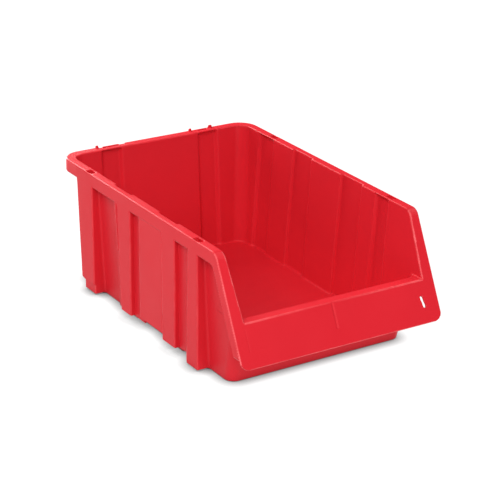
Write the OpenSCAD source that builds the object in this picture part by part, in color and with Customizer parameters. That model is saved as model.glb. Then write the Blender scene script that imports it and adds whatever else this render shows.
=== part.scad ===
// Stackable storage bin with an open hopper front, a stiffening rim and hollow wall columns.
// Units are millimetres. X runs across the bin, Y runs from the front (-) to the back (+), Z is up.
// The origin is on the ground, in the middle of the overall width and length.
// Lengths down the sloping front are called s, and depths behind its face are called d.

/* [Overall] */
// Outer width across the rim
rim_w = 310; // [300:2:330]
// Overall length, from the back of the rim to the foot of the front panel
bin_len = 484; // [480:2:500]
// Height of the rim above the ground
bin_h = 180; // [176:1:190]
// Thickness of every wall
wall = 3; // [2.5:0.5:3.5]

/* [Tub] */
// Half the width of the tub at the ground
base_half_w = 134.5; // [132:0.5:136]
// Where the front wall meets the ground
base_front = -181; // [-184:1:-178]
// Where the back wall meets the ground
base_back = 215; // [212:1:218]
// Lean of the side walls from the vertical, in degrees
side_lean = 3.3; // [3:0.1:3.5]
// Lean of the back wall from the vertical, in degrees
back_lean = 4.8; // [4:0.1:5]
// Lean of the front wall from the vertical, in degrees
front_lean = 13.6; // [13:0.1:14]
// Outer radius of the tub's back corners
back_corner_r = 20; // [14:1:22]
// Outer radius of the tub's front corners
front_corner_r = 14; // [10:1:18]

/* [Rim] */
// Height of the rim's skirt, its top plate included
skirt_h = 18; // [16:1:20]
// Outer radius of the rim's back corners
rim_corner_r = 28; // [24:1:32]
// How much further out the wall stands where the rim is narrow
narrow_step = 3.6; // [3:0.2:4]
// Depth of the four stacking notches below the top of the rim
notch_depth = 4; // [3.5:0.5:5]

/* [Sloping front] */
// Slope of the front frame from the vertical, in degrees
front_tilt = 26.6; // [26:0.1:27]
// Length of the sloping front, from the top of the rim to the foot of the panel
front_face = 149; // [146:1:150]
// Distance down the slope from the top of the rim to the lip of the panel
lip_s = 92; // [88:1:94]
// Depth of the skirt behind the sloping frame
frame_skirt = 15; // [14:1:17]
// Radius of the bend where the rim turns down into the front frame
bend_r = 14; // [12:1:16]
// Radius of the front panel's lower corners
panel_corner_r = 13; // [10:1:16]
// Height above the ground at which the frame's side skirts end
frame_skirt_foot = 58; // [56:1:62]

/* [Columns] */
// Draft of the columns' outer faces, in degrees
face_draft = 0.7; // [0.4:0.1:0.9]
// Height of the posts' feet above the ground
post_foot = 2; // [1:0.5:3]
// Height of the pillars' lower ends above the ground
pillar_foot = 10; // [8:1:12]
// Height of the middle panel's lower end above the ground
mid_foot = 17.5; // [16:0.5:20]
// Depth of the grooves on both sides of the middle panel
groove_depth = 7; // [6:0.5:8]

/* [Hidden] */
$fn = 48;

plastic = [0.86, 0.10, 0.15];
far = 400;
step = 0.01;
rim_half = rim_w / 2;
rim_back_y = bin_len / 2;
rim_under = bin_h - wall;
skirt_foot = bin_h - skirt_h;

// The tub's walls lean outwards. These give the outer surfaces at a height z.
function side_x(z) = base_half_w + z * tan(side_lean);
function back_y(z) = base_back + z * tan(back_lean);
function front_y(z) = base_front - z * tan(front_lean);
side_run = wall / cos(side_lean);
back_run = wall / cos(back_lean);
front_run = wall / cos(front_lean);
lip_back_y = base_front + front_corner_r;

// Points on the sloping front, as [y, z].
front_top_y = front_face * sin(front_tilt) - rim_back_y;
function slope_pt(s, d) = [front_top_y - s * sin(front_tilt) + d * cos(front_tilt),
                           bin_h - s * cos(front_tilt) - d * sin(front_tilt)];
function slope_y_at(z, d) = front_top_y - (bin_h - z) * tan(front_tilt) + d / cos(front_tilt);
lip_z = slope_pt(lip_s, 0)[1];
lip_under = lip_z - wall;

// The bend between the rim and the frame, and the rounded corner of the skirt under it.
bend_y = front_top_y + bend_r * tan((90 - front_tilt) / 2);
bend_centre = [bend_y, bin_h - bend_r];
inner_bend_r = 10;
inner_bend_z = skirt_foot - inner_bend_r;
inner_bend_centre = [slope_y_at(inner_bend_z, frame_skirt + inner_bend_r), inner_bend_z];
bend_steps = 8;
function bend_arc(centre, r) =
    [for (i = [0:bend_steps]) let (a = 90 + (90 - front_tilt) * i / bend_steps)
        centre + r * [cos(a), sin(a)]];
function backwards(list) = [for (i = [len(list) - 1:-1:0]) list[i]];

// The places along Y of what repeats on both sides, as [front, back].
rim_split_y = 196;
wide_channels = [[-128, -101], [149, 184]];
narrow_channels = [[-68, -20], [52, 97]];
channel_depth = 4;
notches = [[-134, -119], [150, 165]];
notch_x = [rim_half - 9, rim_half - 1.5];
back_channel = [64, 94];

// The outline of each column as seen from the side, as [z, front, back].
post_heel = 16;
rear_post_levels = [[post_foot, 146, 176], [post_heel, 146, 176], [post_heel + 1.5, 146, 182],
                    [skirt_foot, 146, 190]];
rear_pillar_levels = [[pillar_foot, 41, 68], [75, 41, 72.5], [skirt_foot, 40, 83]];
mid_levels = [[mid_foot, -43, 17.5], [skirt_foot, -43, 17.5]];
front_pillar_levels = [[pillar_foot, -75.5, -43], [skirt_foot, -75.5, -43]];
front_post_levels = [[post_foot, -132.5, -98], [skirt_foot, -132.5, -98]];
back_post_levels = [[post_foot, 62, 96], [skirt_foot, 60, 98]];
groove_foot = 8;
heel_inset = 2;
bevel_d = 6;
bevel_l = 12;

// The slot on the right of the front panel, and the marks on its left, in mm across and down.
slot_x = 129;
slot_s = [113, 128];
slot_w = 4;
slot_lean = 3;
panel_groove_x = 138;
panel_groove_w = 1.6;
panel_groove_d = 0.8;
vee_x = -6.5;
vee_w = 4;
vee_d = 0.8;
vee_end_s = 126;
ledge_l = 13;
ledge_w = 1.6;

// An outline in [y, z] drawn out along X, and one in [x, z] drawn out along Y.
module along_x(x0, x1) {
    translate([x0, 0, 0]) rotate([90, 0, 90]) linear_extrude(x1 - x0) children();
}

module along_y(y0, y1) {
    translate([0, y1, 0]) rotate([90, 0, 0]) linear_extrude(y1 - y0) children();
}

module both_sides(left) {
    mirror([left ? 1 : 0, 0, 0]) children();
}

module box_between(low, high) {
    translate(low) cube(high - low);
}

// A rectangle of half width w from y0 to y1, with its back corners rounded.
module back_rounded(w, y0, y1, r) {
    translate([-w, y0]) square([2 * w, y1 - r - y0]);
    translate([-w + r, y1 - r - step]) square([2 * (w - r), r + step]);
    for (x = [-w + r, w - r]) translate([x, y1 - r]) circle(r);
}

// A slice of a side wall from y0 to y1. Its sides are moved outwards from the wall's outer surface.
module side_slab(y0, y1, z0, z1, inner_move, outer_move) {
    along_y(y0, y1)
        polygon([[side_x(z0) + inner_move, z0], [side_x(z0) + outer_move, z0],
                 [side_x(z1) + outer_move, z1], [side_x(z1) + inner_move, z1]]);
}

// Everything inside the right-hand wall's outer surface, its channels included.
module side_fill() {
    side_slab(-far, far, -step, bin_h, -far, 0);
    for (c = wide_channels) side_slab(c[0] - wall, c[1] + wall, -step, bin_h, -far, channel_depth);
    for (c = narrow_channels) side_slab(c[0] - wall, c[1] + wall, -step, bin_h, -far, narrow_step);
}

module side_wall() {
    color(plastic) difference() {
        intersection() {
            difference() {
                union() {
                    side_slab(-far, far, wall, rim_under, -side_run, 0);
                    for (c = wide_channels)
                        side_slab(c[0] - wall, c[1] + wall, wall, rim_under, -side_run, channel_depth);
                    for (c = narrow_channels)
                        side_slab(c[0] - wall, c[1] + wall, wall, rim_under, -side_run, narrow_step);
                }
                for (c = wide_channels)
                    side_slab(c[0], c[1], 0, bin_h, -far, channel_depth - side_run);
                for (c = narrow_channels)
                    side_slab(c[0], c[1], 0, bin_h, -far, narrow_step - side_run);
            }
            along_x(0, far)
                polygon(concat([[rim_back_y, wall], [rim_back_y, rim_under]],
                               bend_arc(bend_centre, bend_r - wall),
                               [[slope_y_at(lip_z, wall), lip_z], [lip_back_y, lip_z],
                                [lip_back_y, lip_under], [-rim_back_y, lip_under],
                                [-rim_back_y, wall]]));
        }
        past_side_wall(base_back, back_lean, back_corner_r);
        intersection() {
            past_side_wall(base_front, front_lean, front_corner_r);
            box_between([0, -far, -far], [far, 0, lip_under]);
        }
    }
}

// The frame of a corner where a side wall meets an end wall. Its origin is where their outer
// surfaces meet on the ground, Z runs up their slanting edge, and X is square to the side wall.
module at_corner(end_y, end_lean) {
    translate([base_half_w, end_y, 0]) mirror([0, end_y > 0 ? 0 : 1, 0])
        rotate([0, side_lean, 0]) rotate([-atan(cos(side_lean) * tan(end_lean)), 0, 0]) children();
}

// How far the two walls are from square to each other, and the centre of the round between them.
function skew(end_lean) = asin(sin(side_lean) * sin(end_lean));
function round_centre(end_lean, r) = [-r, -r * (1 - sin(skew(end_lean))) / cos(skew(end_lean)), 0];

module wall_corner(end_y, end_lean, r, z1) {
    turn = skew(end_lean);
    color(plastic) intersection() {
        at_corner(end_y, end_lean) translate(round_centre(end_lean, r) - [0, 0, far / 2])
            linear_extrude(far) intersection() {
                difference() {
                    circle(r);
                    circle(r - wall);
                }
                polygon([[0, 0], [2 * r, 0], [2 * r, 2 * r], 2 * r * [sin(turn), cos(turn)]]);
            }
        box_between([0, -far, wall], [far, far, z1]);
    }
}

// The space past the end of the side wall at a corner, and past the end of the end wall.
module past_side_wall(end_y, end_lean, r) {
    at_corner(end_y, end_lean) translate(round_centre(end_lean, r) - [far, 0, far / 2]) cube(2 * far);
}

module past_end_wall(end_y, end_lean, r) {
    at_corner(end_y, end_lean) translate(round_centre(end_lean, r)) rotate(-skew(end_lean))
        translate([0, -far, -far / 2]) cube(2 * far);
}

module back_corner() {
    wall_corner(base_back, back_lean, back_corner_r, rim_under);
}

module front_corner() {
    wall_corner(base_front, front_lean, front_corner_r, lip_under);
}

module floor_plate() {
    half = side_x(wall);
    color(plastic) linear_extrude(wall) {
        intersection() {
            back_rounded(half, front_y(wall), back_y(wall), back_corner_r);
            rotate(180) back_rounded(half, -back_y(wall), -front_y(wall), front_corner_r);
        }
        for (c = wide_channels) floor_step(c, base_half_w + channel_depth);
        for (c = narrow_channels) floor_step(c, base_half_w + narrow_step);
        for (left = [false, true]) both_sides(left)
            translate([back_channel[0] - wall, 0])
                square([back_channel[1] - back_channel[0] + 2 * wall, base_back + channel_depth]);
    }
}

// Where the floor reaches out under a channel in the side walls.
module floor_step(channel, reach) {
    translate([-reach, channel[0] - wall]) square([2 * reach, channel[1] - channel[0] + 2 * wall]);
}

// A slice of the back wall from x0 to x1. Its sides are moved outwards from the outer surface.
module back_slab(x0, x1, z0, z1, inner_move, outer_move) {
    along_x(x0, x1)
        polygon([[back_y(z0) + inner_move, z0], [back_y(z0) + outer_move, z0],
                 [back_y(z1) + outer_move, z1], [back_y(z1) + inner_move, z1]]);
}

module back_wall() {
    color(plastic) difference() {
        union() {
            back_slab(-rim_half, rim_half, wall, rim_under, -back_run, 0);
            for (left = [false, true]) both_sides(left)
                back_slab(back_channel[0] - wall, back_channel[1] + wall, wall, rim_under,
                          -back_run, channel_depth);
        }
        for (left = [false, true]) both_sides(left) {
            back_slab(back_channel[0], back_channel[1], 0, bin_h, -far, channel_depth - back_run);
            past_end_wall(base_back, back_lean, back_corner_r);
        }
    }
}

module front_wall() {
    color(plastic) difference() {
        along_x(-rim_half, rim_half)
            polygon([[front_y(wall), wall], [front_y(wall) + front_run, wall],
                     [front_y(lip_under) + front_run, lip_under], [front_y(lip_under), lip_under]]);
        for (left = [false, true]) both_sides(left)
            past_end_wall(base_front, front_lean, front_corner_r);
    }
}

// The level lip behind the top edge of the front panel.
module front_lip() {
    color(plastic) difference() {
        intersection() {
            along_x(-far, far)
                polygon([slope_pt(lip_s, 0), slope_pt(lip_s, wall),
                         [slope_y_at(lip_under, wall), lip_under], [lip_back_y, lip_under],
                         [lip_back_y, lip_z]]);
            along_y(-far, far)
                polygon([[-side_x(0), 0], [side_x(0), 0], [side_x(bin_h), bin_h],
                         [-side_x(bin_h), bin_h]]);
        }
        translate([0, 0, lip_under - step]) linear_extrude(2 * wall) rotate(180)
            back_rounded(side_x(lip_z) - side_run, -far, -front_y(lip_z) - front_run,
                         front_corner_r - wall);
        for (left = [false, true]) both_sides(left) front_frame();
    }
}

// Draws in the plane of the sloping front: X across, Y up the slope, Z out of its face.
module on_slope() {
    translate([0, front_top_y, bin_h]) rotate([90 - front_tilt, 0, 0]) children();
}

module front_panel() {
    color(plastic) on_slope() {
        difference() {
            translate([0, 0, -wall]) linear_extrude(wall) difference() {
                rotate(180) back_rounded(rim_half, lip_s, front_face, panel_corner_r);
                polygon([[slot_x - slot_w / 2, -slot_s[0]], [slot_x + slot_w / 2, -slot_s[0]],
                         [slot_x + slot_w / 2 + slot_lean, -slot_s[1]],
                         [slot_x - slot_w / 2 + slot_lean, -slot_s[1]]]);
            }
            translate([-panel_groove_x - panel_groove_w / 2, -slot_s[1], -panel_groove_d])
                cube([panel_groove_w, slot_s[1] - lip_s - 2 * wall, wall]);
            translate([vee_x, -lip_s, 0]) rotate([90, 0, 0]) linear_extrude(vee_end_s - lip_s)
                polygon([[-vee_w / 2, step], [vee_w / 2, step], [0, -vee_d]]);
        }
        translate([slot_w - slot_x, -slot_s[1], 0]) cube([ledge_l, ledge_w, panel_groove_d]);
    }
}

// The band that turns from the rim down the slope, on the right-hand side.
module front_frame() {
    inner_low = side_x(lip_z) - side_run;
    inner_high = side_x(rim_under) - side_run;
    skirt_s = (bin_h - frame_skirt_foot) / cos(front_tilt);
    color(plastic) {
        intersection() {
            along_x(0, rim_half)
                polygon(concat(bend_arc(bend_centre, bend_r),
                               [slope_pt(lip_s, 0), slope_pt(lip_s, wall)],
                               backwards(bend_arc(bend_centre, bend_r - wall))));
            along_y(-far, far)
                polygon([[inner_low, 0], [inner_low, lip_z], [inner_high, rim_under],
                         [inner_high, far], [far, far], [far, 0]]);
        }
        along_x(rim_half - wall, rim_half)
            polygon(concat([[bend_y, rim_under]], bend_arc(bend_centre, bend_r - wall),
                           [slope_pt(skirt_s, wall),
                            [slope_y_at(frame_skirt_foot, frame_skirt), frame_skirt_foot]],
                           backwards(bend_arc(inner_bend_centre, inner_bend_r)),
                           [[bend_y, skirt_foot]]));
    }
}

module rim_opening() {
    half = side_x(rim_under) - side_run;
    back_rounded(half, -far, back_y(rim_under) - back_run, back_corner_r - wall);
    for (c = narrow_channels)
        translate([-half - narrow_step, c[0]]) square([2 * (half + narrow_step), c[1] - c[0]]);
}

// The rim's plate and skirt between two places along Y.
module rim_part(y0, y1) {
    translate([0, 0, rim_under]) linear_extrude(wall) intersection() {
        difference() {
            back_rounded(rim_half, -far, rim_back_y, rim_corner_r);
            rim_opening();
        }
        translate([-far, y0]) square([2 * far, y1 - y0]);
    }
    translate([0, 0, skirt_foot]) linear_extrude(skirt_h - wall) intersection() {
        difference() {
            back_rounded(rim_half, -far, rim_back_y, rim_corner_r);
            back_rounded(rim_half - wall, -far, rim_back_y - wall, rim_corner_r - wall);
        }
        translate([-far, y0]) square([2 * far, y1 - y0]);
    }
}

// A notch leaves the outer part of the skirt standing, so it is a pocket in the rim's top.
module notch_space(n) {
    box_between([notch_x[0], n[0], bin_h - notch_depth], [notch_x[1], n[1], far]);
}

module rim_side() {
    color(plastic) {
        difference() {
            intersection() {
                rim_part(bend_y, rim_split_y);
                box_between([0, -far, 0], [far, far, far]);
            }
            for (n = notches) notch_space(n);
        }
        difference() {
            for (n = notches)
                box_between([notch_x[0] - wall, n[0] - wall, bin_h - notch_depth - wall],
                            [rim_half - wall, n[1] + wall, rim_under]);
            for (n = notches) notch_space(n);
            side_fill();
        }
    }
}

// Places across X of the coupling features on the back rim, as [start, end].
hook_gaps = [[-93, -88], [-61, -52]];
hook_pockets = [[-88, -61], [68, 83]];
pocket_in = 8;
pocket_out = 3;
nibs_left = [[-98, -94]];
nibs_right = [[55, 59], [88, 94]];
nib_h = 3;

module rim_back() {
    color(plastic) difference() {
        rim_part(rim_split_y, far);
        for (g = hook_gaps)
            box_between([g[0], rim_back_y - pocket_in, bin_h - wall / 2], [g[1], far, far]);
        for (p = hook_pockets)
            box_between([p[0], rim_back_y - pocket_in, bin_h - wall / 2],
                        [p[1], rim_back_y - pocket_out, far]);
    }
}

module back_coupling(nibs) {
    color(plastic) for (n = nibs)
        box_between([n[0], rim_back_y - wall, bin_h], [n[1], rim_back_y, bin_h + nib_h]);
}

// The outline of a column in [y, z], drawn in by inset at both flanks and drawn on at its ends.
function column_outline(levels, inset, extra) =
    let (low = levels[0], high = levels[len(levels) - 1],
         rows = concat([[low[0] - extra, low[1], low[2]]], levels,
                       [[high[0] + extra, high[1], high[2]]]))
    concat([for (r = rows) [r[1] + inset, r[0]]], [for (r = backwards(rows)) [r[2] - inset, r[0]]]);

function face_x(z) = rim_half - (skirt_foot - z) * tan(face_draft);

module column_body(levels, inset, extra) {
    intersection() {
        along_x(0, far) polygon(column_outline(levels, inset, extra));
        along_y(-far, far)
            polygon([[0, 0], [face_x(0) - inset, 0], [face_x(skirt_foot) - inset, skirt_foot],
                     [face_x(skirt_foot) - inset, skirt_foot + extra], [0, skirt_foot + extra]]);
    }
}

// A hollow column on the right-hand side wall, open below.
module side_column(levels) {
    difference() {
        column_body(levels, 0, 0);
        column_body(levels, wall, 2);
        side_fill();
    }
}

// The web at the bottom of a groove between two columns.
module groove_web(y0, y1) {
    levels = [[groove_foot, y0, y1], [skirt_foot, y0, y1]];
    difference() {
        intersection() {
            translate([-groove_depth, 0, 0]) column_body(levels, 0, 0);
            along_x(0, far) polygon(column_outline(levels, 0, 0));
        }
        translate([-groove_depth - wall, 0, 0]) column_body(levels, 0, 2);
        side_fill();
    }
}

module rear_post() {
    color(plastic) difference() {
        side_column(rear_post_levels);
        box_between([face_x(post_heel) - heel_inset, 0, 0], [far, far, post_heel]);
    }
}

// The rear pillar has a fine groove beside its back edge.
module rear_pillar() {
    color(plastic) difference() {
        side_column(rear_pillar_levels);
        difference() {
            along_x(0, far)
                polygon([[71, 75], [75, skirt_foot + step], [76.5, skirt_foot + step]]);
            translate([-1.2, 0, 0]) column_body(rear_pillar_levels, 0, 2);
        }
    }
}

module mid_panel() {
    color(plastic) {
        side_column(mid_levels);
        groove_web(mid_levels[0][2], rear_pillar_levels[2][1]);
    }
}

module front_pillar() {
    color(plastic) side_column(front_pillar_levels);
}

// The front post, with its back edge bevelled, drawn in by inset.
module front_post_body(inset, extra) {
    turn = atan(bevel_d / bevel_l);
    difference() {
        column_body(front_post_levels, inset, extra);
        translate([rim_half, front_post_levels[0][2] - bevel_l, -far / 2]) rotate(turn)
            translate([-inset, -far / 2, 0]) cube(far);
    }
}

module front_post() {
    color(plastic) {
        difference() {
            front_post_body(0, 0);
            front_post_body(wall, 2);
            side_fill();
        }
        groove_web(front_post_levels[0][2], front_pillar_levels[0][1]);
    }
}

module back_post_body(inset, extra) {
    face_low = rim_back_y - skirt_foot * tan(face_draft) - inset;
    face_high = rim_back_y - inset;
    intersection() {
        along_y(0, far) polygon(column_outline(back_post_levels, inset, extra));
        along_x(-far, far)
            polygon([[0, 0], [face_low, 0], [face_high, skirt_foot], [face_high, bin_h], [0, bin_h]]);
    }
}

module back_post() {
    color(plastic) difference() {
        back_post_body(0, 0);
        back_post_body(wall, 2);
        back_slab(-far, far, -step, bin_h, -far, 0);
        back_slab(back_channel[0] - wall, back_channel[1] + wall, -step, bin_h, -far, channel_depth);
    }
}

floor_plate();  // floor
back_wall();
front_wall();
front_lip();
front_panel();
rim_back();
both_sides(true) side_wall();  // side_wall_left
side_wall();  // side_wall_right
both_sides(true) back_corner();  // back_corner_left
back_corner();  // back_corner_right
both_sides(true) front_corner();  // front_corner_left
front_corner();  // front_corner_right
both_sides(true) rim_side();  // rim_left
rim_side();  // rim_right
both_sides(true) front_frame();  // front_frame_left
front_frame();  // front_frame_right
both_sides(true) rear_post();  // rear_post_left
rear_post();  // rear_post_right
both_sides(true) rear_pillar();  // rear_pillar_left
rear_pillar();  // rear_pillar_right
both_sides(true) mid_panel();  // mid_panel_left
mid_panel();  // mid_panel_right
both_sides(true) front_pillar();  // front_pillar_left
front_pillar();  // front_pillar_right
both_sides(true) front_post();  // front_post_left
front_post();  // front_post_right
both_sides(true) back_post();  // back_post_left
back_post();  // back_post_right
back_coupling(nibs_left);  // back_coupling_left
back_coupling(nibs_right);  // back_coupling_right
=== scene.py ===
import math
import bmesh
import bpy
import numpy as np
from mathutils import Matrix, Vector


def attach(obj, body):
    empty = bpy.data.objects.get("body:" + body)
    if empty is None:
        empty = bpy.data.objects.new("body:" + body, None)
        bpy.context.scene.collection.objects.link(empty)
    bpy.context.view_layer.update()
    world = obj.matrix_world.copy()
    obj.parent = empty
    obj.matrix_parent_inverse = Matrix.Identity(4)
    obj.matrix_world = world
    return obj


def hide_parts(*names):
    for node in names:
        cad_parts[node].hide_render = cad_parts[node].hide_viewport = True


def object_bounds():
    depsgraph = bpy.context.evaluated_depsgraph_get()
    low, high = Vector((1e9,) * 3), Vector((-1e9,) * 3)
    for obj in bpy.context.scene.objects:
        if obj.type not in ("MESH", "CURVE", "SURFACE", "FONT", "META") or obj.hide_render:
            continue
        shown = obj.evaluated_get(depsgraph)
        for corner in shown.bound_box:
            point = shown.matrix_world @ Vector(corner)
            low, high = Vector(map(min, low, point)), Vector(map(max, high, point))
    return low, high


# Looks of a one-piece moulded storage bin. The wall is described by a function of position that is
# negative inside the plastic, in millimetres in the frame's axes. Its surface is then meshed, so
# every edge and every inner corner has the small round that a moulding has.

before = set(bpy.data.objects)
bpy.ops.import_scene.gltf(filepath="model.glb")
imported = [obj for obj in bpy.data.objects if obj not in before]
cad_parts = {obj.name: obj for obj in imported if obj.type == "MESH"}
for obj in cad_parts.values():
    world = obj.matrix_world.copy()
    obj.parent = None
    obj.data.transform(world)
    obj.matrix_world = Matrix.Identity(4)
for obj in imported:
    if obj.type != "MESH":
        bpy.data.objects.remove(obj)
cad_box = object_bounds()
CAD_BOX = np.array(cad_box) * 1000

# The rim, the tub and the sloping front, in millimetres.
RIM_HALF = 155.0
BACK = 242.0
TOP = 180.0
WALL = 3.0
SKIRT_FOOT = 162.0
BASE_HALF, BASE_FRONT, BASE_BACK = 134.5, -181.0, 215.0
SIDE_LEAN, BACK_LEAN, FRONT_LEAN = (math.radians(a) for a in (3.3, 4.8, 13.6))
BACK_CORNER, FRONT_CORNER, RIM_CORNER = 20.0, 14.0, 28.0
TILT = math.radians(26.6)
FRONT_FACE, LIP_S = 149.0, 92.0
FRONT_TOP_Y = FRONT_FACE * math.sin(TILT) - BACK
LIP_Z = TOP - LIP_S * math.cos(TILT)
LIP_BACK, MOUTH_BACK = -150.0, -100.0
BEND, PANEL_CORNER = 14.0, 13.0
FRAME_SKIRT, FRAME_SKIRT_FOOT, SKIRT_BEND = 15.0, 58.0, 10.0
FACE_DRAFT = math.tan(math.radians(0.7))

# How far solids that join run into one another.
OVERLAP = 1

# What repeats along the walls, as (front, back) or across the back wall as (inner, outer).
WIDE_CHANNELS, NARROW_CHANNELS, BACK_CHANNEL = ((-128, -101), (149, 184)), ((-68, -20), (52, 97)), (64, 94)
CHANNEL_DEPTH, NARROW_STEP = 4.0, 3.6
NOTCHES, NOTCH_X, NOTCH_FLOOR = ((-134, -119), (150, 165)), (146.0, 153.5), 176.0

# The outline of each column as seen from outside, as (z, low, high) from its foot to the skirt.
POST_HEEL, HEEL_INSET = 16.0, 2.0
REAR_POST = ((2, 146, 176), (POST_HEEL, 146, 176), (POST_HEEL + 1.5, 146, 182), (SKIRT_FOOT, 146, 190))
REAR_PILLAR = ((10, 41, 68), (75, 41, 72.5), (SKIRT_FOOT, 40, 83))
MID_PANEL = ((17.5, -43, 17.5), (SKIRT_FOOT, -43, 17.5))
FRONT_PILLAR = ((10, -75.5, -43), (SKIRT_FOOT, -75.5, -43))
FRONT_POST = ((2, -132.5, -98), (SKIRT_FOOT, -132.5, -98))
BACK_POST = ((2, 62, 96), (SKIRT_FOOT, 60, 98))
MID_INSET = 0.6
BEVEL_DEPTH, BEVEL_LENGTH, BEVEL_END = 6.0, 12.0, -110.0
GROOVE, GROOVE_WEBS = 7.0, ((15, 42, 8), (-100, -74, 10))

# A fine line down the rear pillar, leaning back as it rises.
SCRATCH_FOOT, SCRATCH_Y, SCRATCH_SHIFT, SCRATCH_WIDTH, SCRATCH_DEPTH = 75, 71, 4.2, 1.5, 1.2

# The front panel's slot and marks. Down is measured along the slope from the top of the rim.
SLOT_X, SLOT_DOWN, SLOT_WIDTH, SLOT_LEAN = 129, (113, 128), 4, 0.2
VEE_X, VEE_DOWN, VEE_DEPTH, VEE_SLOPE = -6.5, (85, 126), 0.8, 0.4
LINE_X, LINE_DOWN, LINE_WIDTH, MARK_DEPTH = -138, (98, 128), 1.6, 0.8
LEDGE_X, LEDGE_DOWN = (-125, -112), (126.4, 128)

# The nibs on the back rim, and its pockets as (low, high, inner, outer), the last two measured in
# from the back of the rim.
NIBS, NIB_HEIGHT = ((-98, -94), (55, 59), (88, 94)), 3
POCKETS, POCKET_DEPTH = ((-93, -88, 8, -9), (-61, -52, 8, -9), (-88, -61, 8, 3), (68, 83, 8, 3)), 1.5

# Radii: of edges, of inner corners, of thin edges, of fine marks, and of the channels in the walls.
EDGE, FILLET, FINE, MARK, SOFT = 1.3, 1.6, 0.7, 0.4, 3.4
NARROW_ROUND, FLOOR_ROUND, BASE_ROUND, INNER_EDGE, SKIRT_EDGE = 2.0, 2.5, 2.0, 1.4, 1.0

# Distance between the samples that the surface is meshed from, and how many times more it is
# where nothing changes. The points found are then moved onto the wall in a few passes.
STEP, COARSE, PASSES = 1.5, 4, 3
MIN_SLOPE, TINY = 0.05, 1e-9

# Faces within FLAT_ANGLE of each other are joined. A face is round where at least ROUND_SHARE of its
# corners have a true normal over SAME_ANGLE from the face's own, and flat otherwise. A corner whose
# two normals are further apart than FAR_COSINE is always flat.
FLAT_ANGLE, SAME_ANGLE = math.radians(0.5), math.radians(0.3)
ROUND_SHARE, FAR_COSINE = 0.4, 0.6

# How much the edges are painted paler, as a painted highlight and partly as wear. The front is what lies
# less than FRONT_DEPTH behind the sloping face.
FRONT_DEPTH, FRAME_INNER = 4.0, 125.0
HIGHLIGHT_WEAR_FRAME, HIGHLIGHT_WEAR_PANEL, HIGHLIGHT_WEAR_OUTSIDE, HIGHLIGHT_WEAR_WITHIN = 1.0, 0.1, 0.3, 0.08


def rounded_max(a, b, r, cosine=0.0):
    """What a and b share, its edge rounded. cosine is that of the angle between their normals."""
    u, v = a + r, b + r
    length = np.sqrt(np.maximum(u * u + v * v - 2 * cosine * u * v, 0) / (1 - cosine**2))
    return np.where((u > cosine * v) & (v > cosine * u), length - r, np.maximum(a, b))


def rounded_min(a, b, r):
    """What is in a or in b, its inner corner rounded."""
    return -rounded_max(-a, -b, r)


def between(v, low, high):
    """Negative where v is between low and high."""
    return np.abs(v - (low + high) / 2) - (high - low) / 2


def all_of(*parts):
    """What all the parts share."""
    out = parts[0]
    for p in parts[1:]:
        out = np.maximum(out, p)
    return out


def leaning(v, foot, z, lean):
    """The distance outside a wall that leans outwards from its foot."""
    return (v - foot - z * math.tan(lean)) * math.cos(lean)


def tub(x, y, z):
    """The tub's outside, its hollow, and the outer face of its side wall."""
    side = leaning(x, BASE_HALF, z, SIDE_LEAN)
    back = leaning(y, BASE_BACK, z, BACK_LEAN)
    front = leaning(-y, -BASE_FRONT, z, FRONT_LEAN)
    outside = rounded_max(rounded_max(side, back, BACK_CORNER), front, FRONT_CORNER)
    hollow = rounded_max(rounded_max(side + WALL, back + WALL, BACK_CORNER - WALL),
                         front + WALL, FRONT_CORNER - WALL)
    under_rim = z - (TOP - WALL)
    # Each channel as (wall face, direction along it, span, depth, limit, outer widening, radius).
    channels = [(side, y, c, CHANNEL_DEPTH, under_rim, 0, SOFT) for c in WIDE_CHANNELS]
    channels += [(side, y, c, NARROW_STEP, -z, WALL, NARROW_ROUND) for c in NARROW_CHANNELS]
    channels += [(back, x, BACK_CHANNEL, CHANNEL_DEPTH, np.maximum(under_rim, -y), WALL, SOFT)]
    for face, along, (low, high), depth, limit, wider, r in channels:
        dent = rounded_max(face + WALL - depth, between(along, low, high), r)
        bump = rounded_max(face - depth, between(along, low - wider, high + wider), r)
        hollow = rounded_min(hollow, np.maximum(dent, limit), r)
        outside = rounded_min(outside, np.maximum(bump, limit), r)
    hollow = rounded_max(hollow, WALL - z, FLOOR_ROUND)
    outside = rounded_max(outside, -z, BASE_ROUND)
    mouth = rounded_max(side + WALL, LIP_Z - z, BASE_ROUND)
    hollow = np.minimum(hollow, np.maximum(mouth, y - MOUTH_BACK))
    return outside, hollow, side


def column_shell(face, along, z, levels):
    """A hollow column behind face, between flanks given as (z, low, high), open below."""
    heights, lows, highs = zip(*levels)
    low = np.interp(z, heights, lows)
    high = np.interp(z, heights, highs)

    def body(inset):
        flanks = rounded_max(low - along + inset, face + inset, max(FILLET - inset, FINE))
        return rounded_max(flanks, along - high + inset, max(FILLET - inset, FINE))

    return rounded_max(rounded_max(body(0), -body(WALL), FINE), heights[0] - z, FINE)


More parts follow.
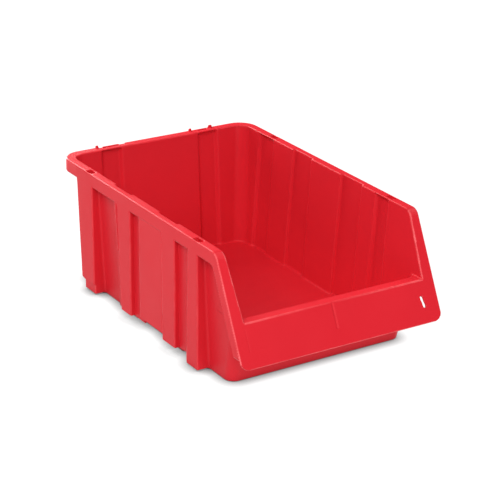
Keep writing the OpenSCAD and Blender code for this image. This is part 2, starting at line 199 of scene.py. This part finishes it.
def columns(x, y, z):
    """The hollow columns on the side walls, with the webs that link them."""
    face = x - RIM_HALF + np.maximum(SKIRT_FOOT - z, 0) * FACE_DRAFT
    rear_post = column_shell(face + np.where(z < POST_HEEL, HEEL_INSET, 0), y, z, REAR_POST)
    scratch_y = SCRATCH_Y + (z - SCRATCH_FOOT) * SCRATCH_SHIFT / (SKIRT_FOOT - SCRATCH_FOOT)
    scratch = between(y, scratch_y, scratch_y + SCRATCH_WIDTH)
    scratch = all_of(scratch, -SCRATCH_DEPTH - face, SCRATCH_FOOT - z)
    rear_pillar = rounded_max(column_shell(face, y, z, REAR_PILLAR), -scratch, MARK)
    mid = column_shell(face + MID_INSET, y, z, MID_PANEL)
    front_pillar = column_shell(face, y, z, FRONT_PILLAR)
    bevel_size = math.hypot(BEVEL_LENGTH, BEVEL_DEPTH)
    bevel = ((x - RIM_HALF) * BEVEL_LENGTH + (y - BEVEL_END) * BEVEL_DEPTH) / bevel_size
    bevelled = rounded_max(face, bevel, SKIRT_EDGE, BEVEL_LENGTH / bevel_size)
    front_post = column_shell(bevelled, y, z, FRONT_POST)
    web_face = face + GROOVE
    webs = [rounded_max(all_of(web_face, -WALL - web_face, between(y, low, high)), foot - z, FINE)
            for low, high, foot in GROOVE_WEBS]
    shell = rear_post
    for part in (rear_pillar, mid, front_pillar, front_post, *webs):
        shell = np.minimum(shell, part)
    return shell


def rim_and_front(x, y, z):
    """The rim's plate and skirt, turning down into the front frame and the panel."""
    across_slope, tilt_cos = y - FRONT_TOP_Y, math.sin(TILT)
    depth = across_slope * math.cos(TILT) - (z - TOP) * math.sin(TILT)
    down = -across_slope * math.sin(TILT) - (z - TOP) * math.cos(TILT)
    plan = rounded_max(x - RIM_HALF, y - BACK, RIM_CORNER)
    plan_inner = rounded_max(x - RIM_HALF + WALL, y - BACK + WALL, RIM_CORNER - WALL)
    top = rounded_max(z - TOP, -depth, BEND, tilt_cos)
    under = rounded_max(z - TOP + WALL, WALL - depth, BEND - WALL, tilt_cos)
    solid = rounded_max(rounded_max(plan, top, FILLET), down - FRONT_FACE, SKIRT_EDGE)
    solid = np.maximum(solid, rounded_max(x - RIM_HALF, down - FRONT_FACE, PANEL_CORNER))
    plate = rounded_max(solid, -under, FINE)
    kept = -rounded_max(z - SKIRT_FOOT, FRAME_SKIRT - depth, SKIRT_BEND, tilt_cos)
    skirt = rounded_max(rounded_max(solid, kept, SKIRT_EDGE), FRAME_SKIRT_FOOT - z, SKIRT_EDGE)
    skirt = rounded_max(skirt, -plan_inner, SKIRT_EDGE)
    return np.minimum(plate, skirt), top, depth, down


def field(x, y, z):
    """Negative inside the plastic."""
    half = np.abs(x)
    outside, hollow, side = tub(half, y, z)
    rim, top, depth, down = rim_and_front(half, y, z)
    wall = rounded_min(outside, columns(half, y, z), SOFT)
    post_face = y - BACK + np.maximum(SKIRT_FOOT - z, 0) * FACE_DRAFT
    back_post = column_shell(post_face, half, z, BACK_POST)
    wall = rounded_min(wall, np.maximum(back_post, -y), FILLET)
    lip = all_of(side, LIP_Z - WALL - z, OVERLAP - depth, y - LIP_BACK)
    wall = np.maximum(rounded_min(wall, lip, SKIRT_EDGE), top + OVERLAP)
    body = np.minimum(rim, wall)
    for low, high in NOTCHES:
        tray = all_of(between(y, low - WALL, high + WALL),
                      between(half, NOTCH_X[0] - WALL, RIM_HALF - OVERLAP),
                      between(z, NOTCH_FLOOR - WALL, TOP - 2 * OVERLAP))
        body = np.minimum(body, tray)
    body = rounded_max(body, -hollow, INNER_EDGE)
    for low, high in NOTCHES:
        gap = rounded_max(between(y, low, high), between(half, *NOTCH_X), FINE)
        body = rounded_max(body, -np.maximum(gap, NOTCH_FLOOR - z), FINE)
    return panel_marks(back_coupling(body, x, y, z), x, depth, down)


def panel_marks(body, x, depth, down):
    """The front panel's slot on the right, its V groove, and the faint marks on its left."""
    slot_x = SLOT_X + (down - SLOT_DOWN[0]) * SLOT_LEAN
    slot = rounded_max(np.abs(x - slot_x) - SLOT_WIDTH / 2, between(down, *SLOT_DOWN), FINE)
    body = rounded_max(body, -np.maximum(slot, between(depth, -WALL, 2 * WALL)), MARK)
    vee = (depth - VEE_DEPTH + np.abs(x - VEE_X) * VEE_SLOPE) / math.hypot(1, VEE_SLOPE)
    body = np.maximum(body, -np.maximum(vee, between(down, *VEE_DOWN)))
    line = all_of(np.abs(x - LINE_X) - LINE_WIDTH / 2, between(down, *LINE_DOWN), depth - MARK_DEPTH)
    body = rounded_max(body, -line, MARK)
    ledge = rounded_max(between(down, *LEDGE_DOWN), between(x, *LEDGE_X), MARK)
    return np.minimum(body, rounded_max(ledge, np.abs(depth) - MARK_DEPTH, MARK))


def back_coupling(body, x, y, z):
    """The nibs and pockets along the top of the back rim."""
    for low, high, inner, outer in POCKETS:
        pocket = all_of(between(x, low, high), between(y, BACK - inner, BACK - outer), TOP - POCKET_DEPTH - z)
        body = rounded_max(body, -pocket, MARK)
    for low, high in NIBS:
        plan = rounded_max(between(x, low, high), between(y, BACK - WALL, BACK), FINE)
        body = np.minimum(body, rounded_max(plan, between(z, TOP - OVERLAP, TOP + NIB_HEIGHT), FINE))
    return body


def grid_line(low, high, step, fine_zones=None):
    """Sample places that put low and high midway between two of them. Outside the fine zones, if
    any are given, they are COARSE times further apart."""
    marks = [low, high] if fine_zones is None else sorted(
        {low, high, *(min(max(z, low), high) for zone in fine_zones for z in zone)})
    cuts = [low]
    for start, end in zip(marks, marks[1:]):
        middle = (start + end) / 2
        fine = fine_zones is None or any(a <= middle <= b for a, b in fine_zones)
        count = max(1, round((end - start) / (step if fine else step * COARSE)))
        cuts += list(start + (end - start) * np.arange(1, count + 1) / count)
    cuts = np.array(cuts)
    middles = (cuts[1:] + cuts[:-1]) / 2
    return np.concatenate([[2 * low - middles[0]], middles, [2 * high - middles[-1]]])


def sample_cell(active, values, inside, lines):
    """One point in each active cell, at the middle of where its edges cross the surface."""
    i, j, k = np.nonzero(active)
    total = np.zeros((len(i), 3))
    hits = np.zeros(len(i))
    for axis in range(3):
        for a in (0, 1):
            for b in (0, 1):
                corner = np.insert([a, b], axis, 0)
                other = corner + np.eye(3, dtype=int)[axis]
                p = (i + corner[0], j + corner[1], k + corner[2])
                q = (i + other[0], j + other[1], k + other[2])
                crossing = inside[p] != inside[q]
                fp, fq = values[p], values[q]
                t = np.where((fp < 0) != (fq < 0), fp / np.where(fp == fq, 1, fp - fq), 0.5)
                point = np.stack([lines[n][p[n]] for n in range(3)], 1)
                point[:, axis] += t * (lines[axis][q[axis]] - lines[axis][p[axis]])
                total += point * crossing[:, None]
                hits += crossing
    return total / hits[:, None]


def gradient(points, h=0.02):
    """The direction straight out of the wall, as long as the field is steep."""
    out = np.empty_like(points)
    for n in range(3):
        ahead, behind = points.copy(), points.copy()
        ahead[:, n] += h
        behind[:, n] -= h
        out[:, n] = (field(*ahead.T) - field(*behind.T)) / (2 * h)
    return out


def curvature(points, h=0.25):
    """How sharply the surface bends: the inverse of an edge's radius, and negative in a hollow."""
    ring = sum(field(*(points + side * h * np.eye(3)[n]).T) for n in range(3) for side in (-1, 1))
    return (ring - 6 * field(*points.T)) / h**2


def cells_around(ids, axis, edges):
    """The four cells round each grid edge along axis, turning by the right-hand rule."""
    one, two = (axis + 1) % 3, (axis + 2) % 3
    out = []
    for a, b in ((-1, -1), (0, -1), (0, 0), (-1, 0)):
        at = [e.copy() for e in edges]
        at[one] += a
        at[two] += b
        out.append(ids[tuple(at)])
    return np.stack(out, 1)


def settled(points, free, on_surface):
    """The points moved onto the wall's surface, only in the directions in which each is free."""
    for _ in range(PASSES):
        slope = gradient(points) * free
        size = np.maximum((slope**2).sum(1), MIN_SLOPE)
        move = -(field(*points.T) / size)[:, None] * slope
        reach = np.linalg.norm(move, axis=1, keepdims=True)
        points += move * np.minimum(1, STEP / np.maximum(reach, TINY)) * on_surface[:, None]
        points = np.clip(points, *CAD_BOX)
    return points


def crossed(inside):
    """Which cells have some of their eight corners inside and some outside."""
    corners = [(slice(a, a - 1 or None), slice(b, b - 1 or None), slice(c, c - 1 or None))
               for a in (0, 1) for b in (0, 1) for c in (0, 1)]
    count = sum(inside[c].astype(np.int8) for c in corners)
    return (count > 0) & (count < 8)


def faces_between(ids, inside):
    """A four-sided face across each grid edge that has one end inside and the other outside."""
    faces = []
    for axis in range(3):
        here = [slice(None)] * 3
        there = [slice(None)] * 3
        here[axis], there[axis] = slice(None, -1), slice(1, None)
        first, second = inside[tuple(here)], inside[tuple(there)]
        for crossing, turn in ((first & ~second, 1), (~first & second, -1)):
            faces.append(cells_around(ids, axis, list(np.nonzero(crossing)))[:, ::turn])
    return np.concatenate(faces)


def surface(low, high, zones):
    """The wall's surface inside a box, closed by flat cuts: its points and four-sided faces."""
    lines = [grid_line(low[n], high[n], STEP, zones.get("xyz"[n])) for n in range(3)]
    held = [np.clip(lines[n], low[n], high[n]) for n in range(3)]
    values = np.broadcast_to(field(held[0][:, None, None], held[1][None, :, None], held[2][None, None, :]),
                             [len(l) for l in lines]).copy()
    inside = values < 0
    for n in range(3):
        edge = [slice(None)] * 3
        edge[n] = [0, -1]
        inside[tuple(edge)] = False
    active = crossed(inside)
    ids = np.full(active.shape, -1)
    ids[active] = np.arange(active.sum())
    points = sample_cell(active, values, inside, lines)
    free = np.ones_like(points)
    for n, index in enumerate(np.nonzero(active)):
        for cell, plane in ((0, low[n]), (len(lines[n]) - 2, high[n])):
            points[index == cell, n] = plane
            free[index == cell, n] = 0
    return settled(points, free, crossed(values < 0)[active]), faces_between(ids, inside)


def make_piece(name, low, high, material, **zones):
    """The part of the moulding between two corners of a box, as an object."""
    points, faces = surface(low, high, zones)
    mesh = bpy.data.meshes.new(name)
    mesh.vertices.add(len(points))
    mesh.vertices.foreach_set("co", (points / 1000).astype(np.float32).ravel())
    mesh.loops.add(faces.size)
    mesh.loops.foreach_set("vertex_index", faces.ravel().astype(np.int32))
    mesh.polygons.add(len(faces))
    mesh.polygons.foreach_set("loop_start", np.arange(0, faces.size, 4, dtype=np.int32))
    mesh.update(calc_edges=True)
    mesh.validate()
    bm = bmesh.new()
    bm.from_mesh(mesh)
    bmesh.ops.dissolve_limit(bm, angle_limit=FLAT_ANGLE, verts=bm.verts, edges=bm.edges)
    bm.to_mesh(mesh)
    bm.free()
    shade(mesh)
    mesh.materials.append(material)
    ob = bpy.data.objects.new(name, mesh)
    bpy.context.scene.collection.objects.link(ob)
    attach(ob, "root")
    return ob


def highlight_wear_weight(x, y, z):
    """Painted highlight and wear on edges: most on the front frame, less on the outside, least within."""
    half = np.abs(x)
    depth = rim_and_front(half, y, z)[2]
    at_front = np.where(half > FRAME_INNER, HIGHLIGHT_WEAR_FRAME, HIGHLIGHT_WEAR_PANEL)
    behind = np.where(half > NOTCH_X[0], HIGHLIGHT_WEAR_OUTSIDE, HIGHLIGHT_WEAR_WITHIN)
    return np.where(depth < FRONT_DEPTH, at_front, behind)


def shade(mesh):
    """Gives flat faces their own normal, and the rounds between them the wall's true one."""
    count = len(mesh.loops)
    vertex = np.empty(count, np.int32)
    mesh.loops.foreach_get("vertex_index", vertex)
    points = np.empty(len(mesh.vertices) * 3, np.float32)
    mesh.vertices.foreach_get("co", points)
    points = points.reshape(-1, 3).astype(float) * 1000
    true = gradient(points)
    true /= np.maximum(np.linalg.norm(true, axis=1, keepdims=True), 1e-6)
    size = np.empty(len(mesh.polygons), np.int32)
    mesh.polygons.foreach_get("loop_total", size)
    flat = np.empty(len(mesh.polygons) * 3, np.float32)
    mesh.polygons.foreach_get("normal", flat)
    flat = flat.reshape(-1, 3)
    face = np.repeat(np.arange(len(size)), size)
    normal = true[vertex]
    agree = (normal * flat[face]).sum(1)
    off = agree < math.cos(SAME_ANGLE)
    share = np.bincount(face, off, len(size)) / size
    use_flat = (share[face] < ROUND_SHARE) | (agree < FAR_COSINE)
    normal[use_flat] = flat[face][use_flat]
    mesh.polygons.foreach_set("use_smooth", np.ones(len(size), bool))
    mesh.normals_split_custom_set(normal.tolist())
    # Convex edges get a pale painted highlight, partly wear, kept in the corner attribute named edge.
    highlight_wear = highlight_wear_weight(*points.T) * np.clip(curvature(points) * EDGE, 0, 1)
    edge_highlight = np.where(use_flat, 0, highlight_wear[vertex])
    mesh.attributes.new("edge", "FLOAT", "CORNER").data.foreach_set("value", edge_highlight.astype(np.float32))


# Places and sizes from here on are in metres.
CAM_AT = Vector((-1.2369, -1.9178, 1.0335))
LENS, SENSOR = 131.03, 36
YAW, PITCH, ROLL = (math.radians(a) for a in (33.02, 22.46, 1.19))


def add_camera():
    forward = Vector((math.sin(YAW) * math.cos(PITCH), math.cos(YAW) * math.cos(PITCH), -math.sin(PITCH)))
    right = Vector((math.cos(YAW), -math.sin(YAW), 0))
    up = right.cross(forward)
    across = right * math.cos(ROLL) + up * math.sin(ROLL)
    upward = up * math.cos(ROLL) - right * math.sin(ROLL)
    data = bpy.data.cameras.new("camera")
    data.lens = LENS
    data.sensor_width = SENSOR
    camera = bpy.data.objects.new("camera", data)
    bpy.context.scene.collection.objects.link(camera)
    turned = Matrix((across, upward, -forward)).transposed().to_4x4()
    camera.matrix_world = Matrix.Translation(CAM_AT) @ turned
    bpy.context.scene.camera = camera


# Each light as (name, azimuth, elevation, watts), in degrees.
LIGHTS = (
    ("front", 0, 15, 25),
    ("front_left", 45, 45, 48),
    ("left", 90, 45, 26),
    ("back_low", 180, 15, 122),
    ("back_high", 180, 45, 30),
    ("right", 270, 45, 24),
)
LIGHT_SIZE, LIGHT_REACH, LIGHT_AIM = 1.6, 2.8, Vector((0, 0, 0.1))


def area_light(name, azimuth, elevation, power):
    """A square studio light aimed at the bin. Azimuth turns from the front towards the left."""
    turn, rise = math.radians(azimuth), math.radians(elevation)
    away = Vector((-math.sin(turn) * math.cos(rise), -math.cos(turn) * math.cos(rise), math.sin(rise)))
    data = bpy.data.lights.new(name, "AREA")
    data.size = LIGHT_SIZE
    data.energy = power
    light = bpy.data.objects.new(name, data)
    light.location = away * LIGHT_REACH + LIGHT_AIM
    light.rotation_euler = away.to_track_quat("Z", "Y").to_euler()
    bpy.context.scene.collection.objects.link(light)


FLOOR_HALF, FLOOR_GREY, FLOOR_ROUGHNESS, SHADOW_REACH, SHADOW_POWER = 12, 0.06, 0.9, 0.017, 1.2


def add_floor():
    """A pale floor giving light of its own, dimmed close round what stands on it: a painted contact shadow.
    """
    mesh = bpy.data.meshes.new("floor_sheet")
    corners = [(x * FLOOR_HALF, y * FLOOR_HALF, 0) for x, y in ((-1, -1), (1, -1), (1, 1), (-1, 1))]
    mesh.from_pydata(corners, [], [(0, 1, 2, 3)])
    ob = bpy.data.objects.new("floor_sheet", mesh)
    bpy.context.scene.collection.objects.link(ob)
    mat = bpy.data.materials.new("floor")
    mat.use_nodes = True
    nodes, links = mat.node_tree.nodes, mat.node_tree.links
    shader = nodes["Principled BSDF"]
    shader.inputs["Base Color"].default_value = (FLOOR_GREY, FLOOR_GREY, FLOOR_GREY, 1)
    shader.inputs["Roughness"].default_value = FLOOR_ROUGHNESS
    shader.inputs["Specular IOR Level"].default_value = 0.0
    shader.inputs["Emission Color"].default_value = (1, 1, 1, 1)
    # Ambient occlusion dims the floor's own light near the bin, as a painted contact shadow.
    contact_shadow = nodes.new("ShaderNodeAmbientOcclusion")
    contact_shadow.inputs["Distance"].default_value = SHADOW_REACH
    glow = nodes.new("ShaderNodeMath")
    glow.operation = "POWER"
    glow.inputs[1].default_value = SHADOW_POWER
    links.new(contact_shadow.outputs["AO"], glow.inputs[0])
    links.new(glow.outputs[0], shader.inputs["Emission Strength"])
    mesh.materials.append(mat)


WORLD_LIGHT = 0.05


def add_world():
    """A faint even light from all round."""
    world = bpy.data.worlds.new("world")
    bpy.context.scene.world = world
    world.use_nodes = True
    background = world.node_tree.nodes["Background"]
    background.inputs["Color"].default_value = (1, 1, 1, 1)
    background.inputs["Strength"].default_value = WORLD_LIGHT


# The last red is the paler colour of edges: a painted highlight, partly standing for wear.
DEEP_RED, BRIGHT_RED, HIGHLIGHT_WEAR_RED = (0.61, 0.0150, 0.025), (0.64, 0.0165, 0.027), (0.90, 0.19, 0.20)
GLOSS, ROUGHNESS, HIGHLIGHT_WEAR_RANGE = 0.11, (0.33, 0.43), (0.3, 0.8)
GRAIN_STRENGTH, GRAIN_DEPTH = 0.12, 0.0002
TINT_SCALE, GLOSS_SCALE, HIGHLIGHT_WEAR_SCALE, GRAIN_SCALE = 9, 22, 60, 1400


def plastic():
    """Red polypropylene: slightly uneven tint and gloss, fine moulded grain, painted edge highlights and
    wear.
    """
    mat = bpy.data.materials.new("red_plastic")
    mat.use_nodes = True
    nodes, links = mat.node_tree.nodes, mat.node_tree.links
    shader = nodes["Principled BSDF"]
    place = nodes.new("ShaderNodeTexCoord").outputs["Object"]

    def noise(scale, detail):
        node = nodes.new("ShaderNodeTexNoise")
        node.inputs["Scale"].default_value = scale
        node.inputs["Detail"].default_value = detail
        links.new(place, node.inputs["Vector"])
        return node.outputs["Fac"]

    def mapped(value, low, high, start=0.3, end=0.7):
        node = nodes.new("ShaderNodeMapRange")
        for name, number in zip(("From Min", "From Max", "To Min", "To Max"), (start, end, low, high)):
            node.inputs[name].default_value = number
        links.new(value, node.inputs["Value"])
        return node.outputs["Result"]

    def mixed(factor, one, two):
        node = nodes.new("ShaderNodeMix")
        node.data_type = "RGBA"
        links.new(factor, node.inputs["Factor"])
        for socket, colour in ((node.inputs["A"], one), (node.inputs["B"], two)):
            if isinstance(colour, tuple):
                socket.default_value = (*colour, 1)
            else:
                links.new(colour, socket)
        return node.outputs["Result"]

    # The edge attribute carries the painted edge highlight, partly wear, mixed in as a paler red.
    edge = nodes.new("ShaderNodeAttribute")
    edge.attribute_name = "edge"
    highlight_wear = nodes.new("ShaderNodeMath")
    highlight_wear.operation = "MULTIPLY"
    links.new(edge.outputs["Fac"], highlight_wear.inputs[0])
    links.new(mapped(noise(HIGHLIGHT_WEAR_SCALE, 3), *HIGHLIGHT_WEAR_RANGE), highlight_wear.inputs[1])
    tint = mixed(mapped(noise(TINT_SCALE, 2), 0, 1), DEEP_RED, BRIGHT_RED)
    links.new(mixed(highlight_wear.outputs[0], tint, HIGHLIGHT_WEAR_RED), shader.inputs["Base Color"])
    links.new(mapped(noise(GLOSS_SCALE, 4), *ROUGHNESS), shader.inputs["Roughness"])
    shader.inputs["Specular IOR Level"].default_value = GLOSS
    bump = nodes.new("ShaderNodeBump")
    bump.inputs["Strength"].default_value = GRAIN_STRENGTH
    bump.inputs["Distance"].default_value = GRAIN_DEPTH
    links.new(noise(GRAIN_SCALE, 2), bump.inputs["Height"])
    links.new(bump.outputs["Normal"], shader.inputs["Normal"])
    return mat


add_camera()
add_world()
add_floor()
for light in LIGHTS:
    area_light(*light)
red = plastic()

# Where the moulding is cut into pieces, the box round it, and where the surface needs fine samples.
SIDE_CUT, BACK_CUT, FRONT_CUT, RIM_CUT = 112.5, 192.0, -157.5, 157.5
OUT_X, OUT_Y, LOW, HIGH = 159, 246, -3, 186
FEET_TOP, SKIRT_LOW, POST_INNER, MOUTH_INNER, VEE_HALF = 27, 147, 50, 108, 24
side_z = ((LOW, FEET_TOP), (SKIRT_LOW, RIM_CUT))
left_x = ((-OUT_X, -SIDE_CUT),)
right_x = ((SIDE_CUT, OUT_X),)
back_x = ((-OUT_X, -POST_INNER), (POST_INNER, OUT_X))
mouth_x = ((-OUT_X, -MOUTH_INNER), (VEE_X - VEE_HALF, VEE_X + VEE_HALF), (MOUTH_INNER, OUT_X))

left_side = make_piece("left_side", (-OUT_X, FRONT_CUT, LOW), (0, BACK_CUT, RIM_CUT), red,
                       x=left_x, z=side_z)
right_side = make_piece("right_side", (0, FRONT_CUT, LOW), (OUT_X, BACK_CUT, RIM_CUT), red,
                        x=right_x, z=side_z)
left_rim = make_piece("left_rim", (-OUT_X, FRONT_CUT, RIM_CUT), (-SIDE_CUT, BACK_CUT, HIGH), red)
right_rim = make_piece("right_rim", (SIDE_CUT, FRONT_CUT, RIM_CUT), (OUT_X, BACK_CUT, HIGH), red)
back = make_piece("back", (-OUT_X, BACK_CUT, LOW), (OUT_X, OUT_Y, RIM_CUT), red, x=back_x, z=side_z)
back_rim = make_piece("back_rim", (-OUT_X, BACK_CUT, RIM_CUT), (OUT_X, OUT_Y, HIGH), red, x=back_x)
mouth = make_piece("mouth", (-OUT_X, -OUT_Y, LOW), (OUT_X, FRONT_CUT, HIGH), red, x=mouth_x)
for side, wall, rim in (("left", left_side, left_rim), ("right", right_side, right_rim)):
    columns_there = ("rear_post", "rear_pillar", "mid_panel", "front_pillar", "front_post", "side_wall")
    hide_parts(*(f"{name}_{side}" for name in columns_there))
    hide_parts(f"rim_{side}")
    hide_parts(f"back_corner_{side}", f"back_post_{side}")
    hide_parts(f"back_coupling_{side}")
    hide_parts(f"front_corner_{side}", f"front_frame_{side}")
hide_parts("floor")
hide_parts("back_wall")
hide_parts("rim_back")
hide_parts("front_wall", "front_lip", "front_panel")

scene = bpy.context.scene
scene.view_settings.view_transform = "Standard"
